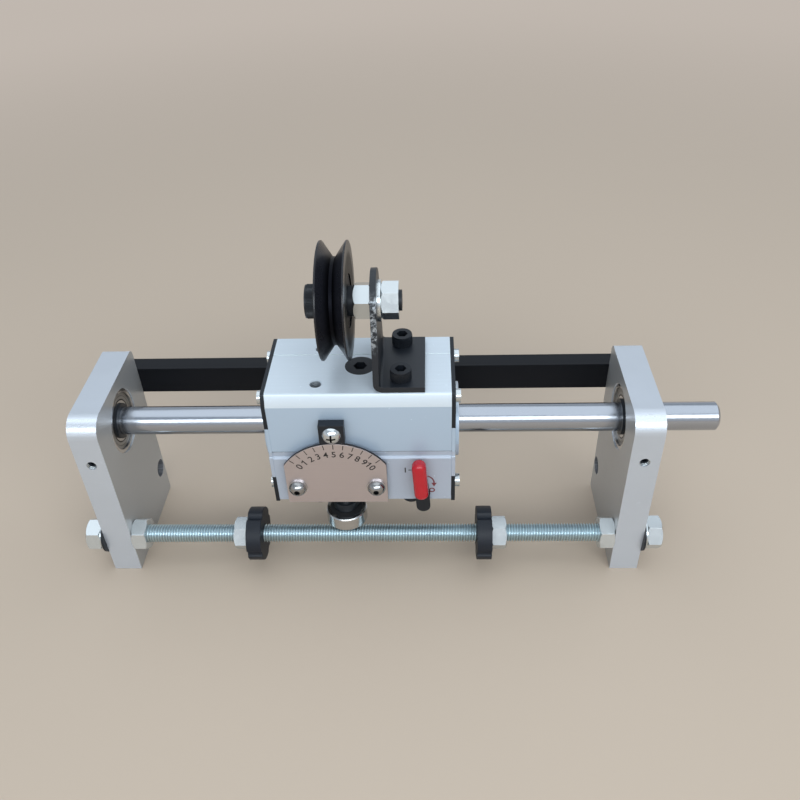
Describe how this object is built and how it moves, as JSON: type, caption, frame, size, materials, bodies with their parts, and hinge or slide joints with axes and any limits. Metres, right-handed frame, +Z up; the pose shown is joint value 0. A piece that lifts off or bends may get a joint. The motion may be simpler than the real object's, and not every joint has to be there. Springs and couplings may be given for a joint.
{
  "type": "rolling-ring traverse unit",
  "caption": "Level-wind traverse: a boxed carriage with a cable pulley walks along a polished shaft between side plates and reverses at adjustable stops.",
  "frame": {"origin": "on the floor under the middle of the overall box", "axes": "+X along the shaft to its free drive end, +Y from the dial side to the guide bar, +Z up"},
  "size_m": [0.3382, 0.084, 0.1825],
  "materials": {
    "anodised_aluminium": "satin anodised, fine machining lines",
    "black_bar": "satin black",
    "zinc_thread": "zinc-plated thread, faint green tint",
    "zinc": "bright zinc plate",
    "polished_shaft": "ground and polished",
    "bearing_steel": "bright ground steel",
    "black_steel": "black oxide",
    "black_paint": "satin black paint, worn on one edge",
    "black_nylon": "semi-matte",
    "pulley_black": "semi-gloss black",
    "dial_metal": "brushed, engraved scale",
    "red_plastic": "glossy"
  },
  "bodies": {
    "frame": {"left_side_plate": "anodised_aluminium", "right_side_plate": "anodised_aluminium", "guide_bar": "black_bar", "guide_bar_screws": "black_bar", "stop_rod": "zinc_thread", "rod_nuts": "zinc", "rod_washers": "black_steel", "rod_spring_washers": "zinc", "bearing_outer_rings": "bearing_steel", "bearing_circlips": "bearing_steel", "bearing_grub_screws": "black_steel"},
    "shaft": {"drive_shaft": "polished_shaft", "bearing_inner_rings": "bearing_steel", "shaft_circlips": "black_steel"},
    "carriage": {"upper_housing": "anodised_aluminium", "lower_housing": "anodised_aluminium", "end_covers": "black_steel", "bush_plates": "anodised_aluminium", "wiper_rings": "anodised_aluminium", "cover_screws": "zinc", "base_screws": "black_steel", "dial_plate": "dial_metal", "dial_screws": "zinc", "dial_washers": "zinc", "dial_spacers": "bearing_steel", "thrust_adjuster": "black_steel", "thrust_spring": "bearing_steel", "guide_shoe": "black_nylon", "guide_shoe_screws": "black_steel", "pulley_bracket": "black_paint", "bracket_screws": "black_steel", "pulley_bolt": "black_steel", "pulley_nuts": "zinc", "pulley_washers": "zinc", "pulley_bearing_inner": "bearing_steel", "lever_pivot": "bearing_steel"},
    "pulley": {"pulley": "pulley_black", "pulley_bearing_outer": "bearing_steel"},
    "pitch_pointer": {"pitch_pointer": "black_steel", "pointer_screw": "zinc"},
    "release_lever": {"release_handle": "red_plastic", "release_cam": "black_steel"},
    "reversing_lever": {"reversing_lever": "black_steel", "roller_pin": "bearing_steel"},
    "roller": {"reversing_roller": "bearing_steel"},
    "left_swivel": {"left_ring_holder": "anodised_aluminium", "left_ring_outer": "bearing_steel"},
    "left_ring": {"left_ring_inner": "bearing_steel"},
    "middle_swivel": {"middle_ring_holder": "anodised_aluminium", "middle_ring_outer": "bearing_steel"},
    "middle_ring": {"middle_ring_inner": "bearing_steel"},
    "right_swivel": {"right_ring_holder": "anodised_aluminium", "right_ring_outer": "bearing_steel"},
    "right_ring": {"right_ring_inner": "bearing_steel"},
    "left_stop": {"left_stop_disc": "black_nylon", "left_stop_nut": "zinc"},
    "right_stop": {"right_stop_disc": "black_nylon", "right_stop_nut": "zinc"}
  },
  "joints": [
    {"name": "shaft_spin", "type": "hinge", "parent": "frame", "child": "shaft", "pos_m": [-0.0126, -0.001, 0.0814], "axis": [1, 0, 0], "continuous": true},
    {"name": "carriage_slide", "type": "slide", "parent": "frame", "child": "carriage", "axis": [1, 0, 0], "range_m": [-0.0335, 0.0365]},
    {"name": "pulley_spin", "type": "hinge", "parent": "carriage", "child": "pulley", "pos_m": [-0.024, -0.001, 0.154], "axis": [1, 0, 0], "continuous": true},
    {"name": "lever_swing", "type": "hinge", "parent": "carriage", "child": "reversing_lever", "pos_m": [-0.0146, 0.007, 0.04], "axis": [0, 0, 1], "range_deg": [0, 43.2]},
    {"name": "roller_spin", "type": "hinge", "parent": "reversing_lever", "child": "roller", "pos_m": [-0.02568, -0.02099, 0.0325], "axis": [0, 0, 1], "continuous": true},
    {"name": "pointer_set", "type": "hinge", "parent": "carriage", "child": "pitch_pointer", "pos_m": [-0.0281, -0.028, 0.0586], "axis": [0, 1, 0], "range_deg": [-46, 46]},
    {"name": "release_turn", "type": "hinge", "parent": "carriage", "child": "release_lever", "pos_m": [0.0159, -0.029, 0.052], "axis": [0, 1, 0], "range_deg": [0, 90]},
    {"name": "left_stop_shift", "type": "slide", "parent": "frame", "child": "left_stop", "axis": [1, 0, 0], "range_m": [-0.042, 0]},
    {"name": "right_stop_shift", "type": "slide", "parent": "frame", "child": "right_stop", "axis": [1, 0, 0], "range_m": [0, 0.038]},
    {"name": "left_swivel_turn", "type": "hinge", "parent": "carriage", "child": "left_swivel", "pos_m": [-0.0386, -0.001, 0.08225], "axis": [0, 0, 1], "range_deg": [0, 13.5]},
    {"name": "left_ring_spin", "type": "hinge", "parent": "left_swivel", "child": "left_ring", "pos_m": [-0.0386, -0.001, 0.08225], "axis": [0.9931, -0.1175, 0], "continuous": true},
    {"name": "middle_swivel_turn", "type": "hinge", "parent": "carriage", "child": "middle_swivel", "pos_m": [-0.0146, -0.001, 0.08055], "axis": [0, 0, 1], "range_deg": [0, 13.5]},
    {"name": "middle_ring_spin", "type": "hinge", "parent": "middle_swivel", "child": "middle_ring", "pos_m": [-0.0146, -0.001, 0.08055], "axis": [0.9931, -0.1175, 0], "continuous": true},
    {"name": "right_swivel_turn", "type": "hinge", "parent": "carriage", "child": "right_swivel", "pos_m": [0.0094, -0.001, 0.08225], "axis": [0, 0, 1], "range_deg": [0, 13.5]},
    {"name": "right_ring_spin", "type": "hinge", "parent": "right_swivel", "child": "right_ring", "pos_m": [0.0094, -0.001, 0.08225], "axis": [0.9931, -0.1175, 0], "continuous": true}
  ],
  "couplings": [
    {"joint": "left_swivel_turn", "follows": "lever_swing", "ratio": 0.3124},
    {"joint": "left_ring_spin", "follows": "shaft_spin", "ratio": 0.8824},
    {"joint": "middle_swivel_turn", "follows": "lever_swing", "ratio": 0.3124},
    {"joint": "middle_ring_spin", "follows": "shaft_spin", "ratio": 0.8824},
    {"joint": "right_swivel_turn", "follows": "lever_swing", "ratio": 0.3124},
    {"joint": "right_ring_spin", "follows": "shaft_spin", "ratio": 0.8824}
  ]
}
